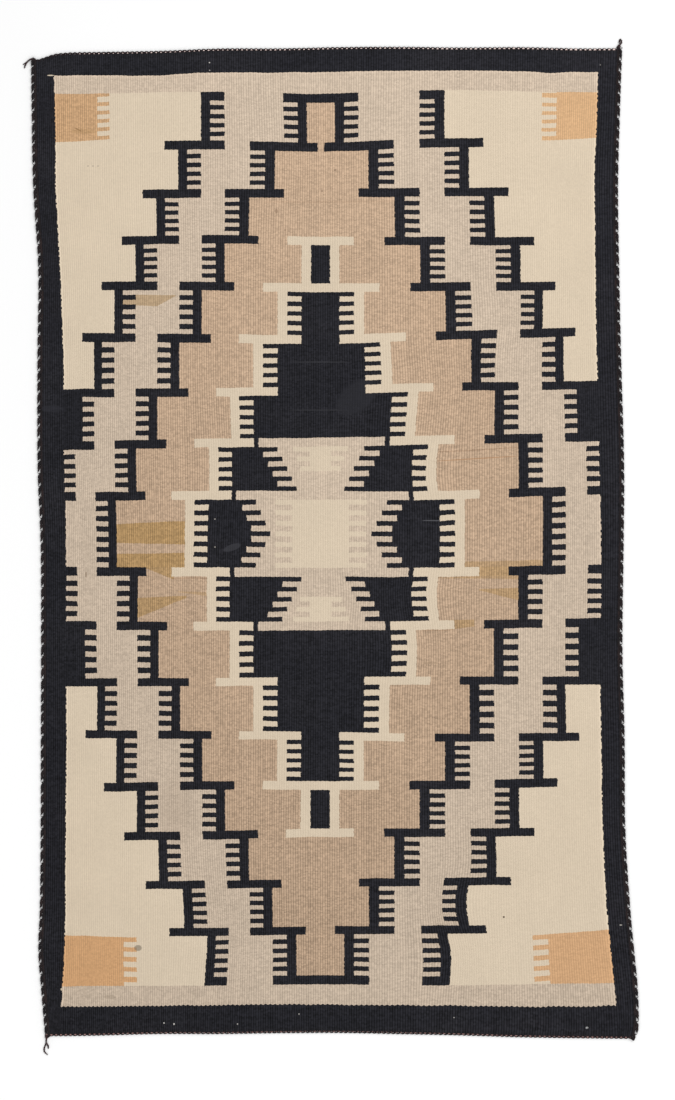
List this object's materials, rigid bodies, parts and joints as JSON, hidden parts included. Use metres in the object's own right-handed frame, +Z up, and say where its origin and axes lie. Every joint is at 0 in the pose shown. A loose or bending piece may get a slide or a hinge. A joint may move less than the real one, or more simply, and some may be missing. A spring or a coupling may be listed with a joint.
{
  "type": "navajo rug",
  "caption": "Flat handwoven wool rug with a dark border, stepped diamond pattern, twisted cords along its edges and short yarn ties at its corners.",
  "frame": {"origin": "on the floor, under the middle of the rug's outline, ties included", "axes": "+X across the rug, to the right as it is seen from above; +Y along its length, towards the end with two corner ties; +Z up, out of the face"},
  "size_m": [0.9462, 1.5638, 0.0052],
  "materials": {
    "tapestry_wool": "weft-faced wool tapestry, charcoal, cream, tan, grey-beige and gold, matt",
    "side_cord_wool": "twisted wool cord, black and dark brown, matt",
    "end_cord_wool": "twined wool cord, dark purple-brown, matt",
    "tie_wool": "wool yarn ends, dark brown, matt and fuzzy"
  },
  "bodies": {
    "root": {"rug_cloth": "tapestry_wool", "cord_left": "side_cord_wool", "cord_right": "side_cord_wool", "cord_top": "end_cord_wool", "cord_bottom": "end_cord_wool", "tie_top_left": "tie_wool", "tie_top_right": "tie_wool", "tie_bottom_left": "tie_wool"}
  },
  "joints": []
}
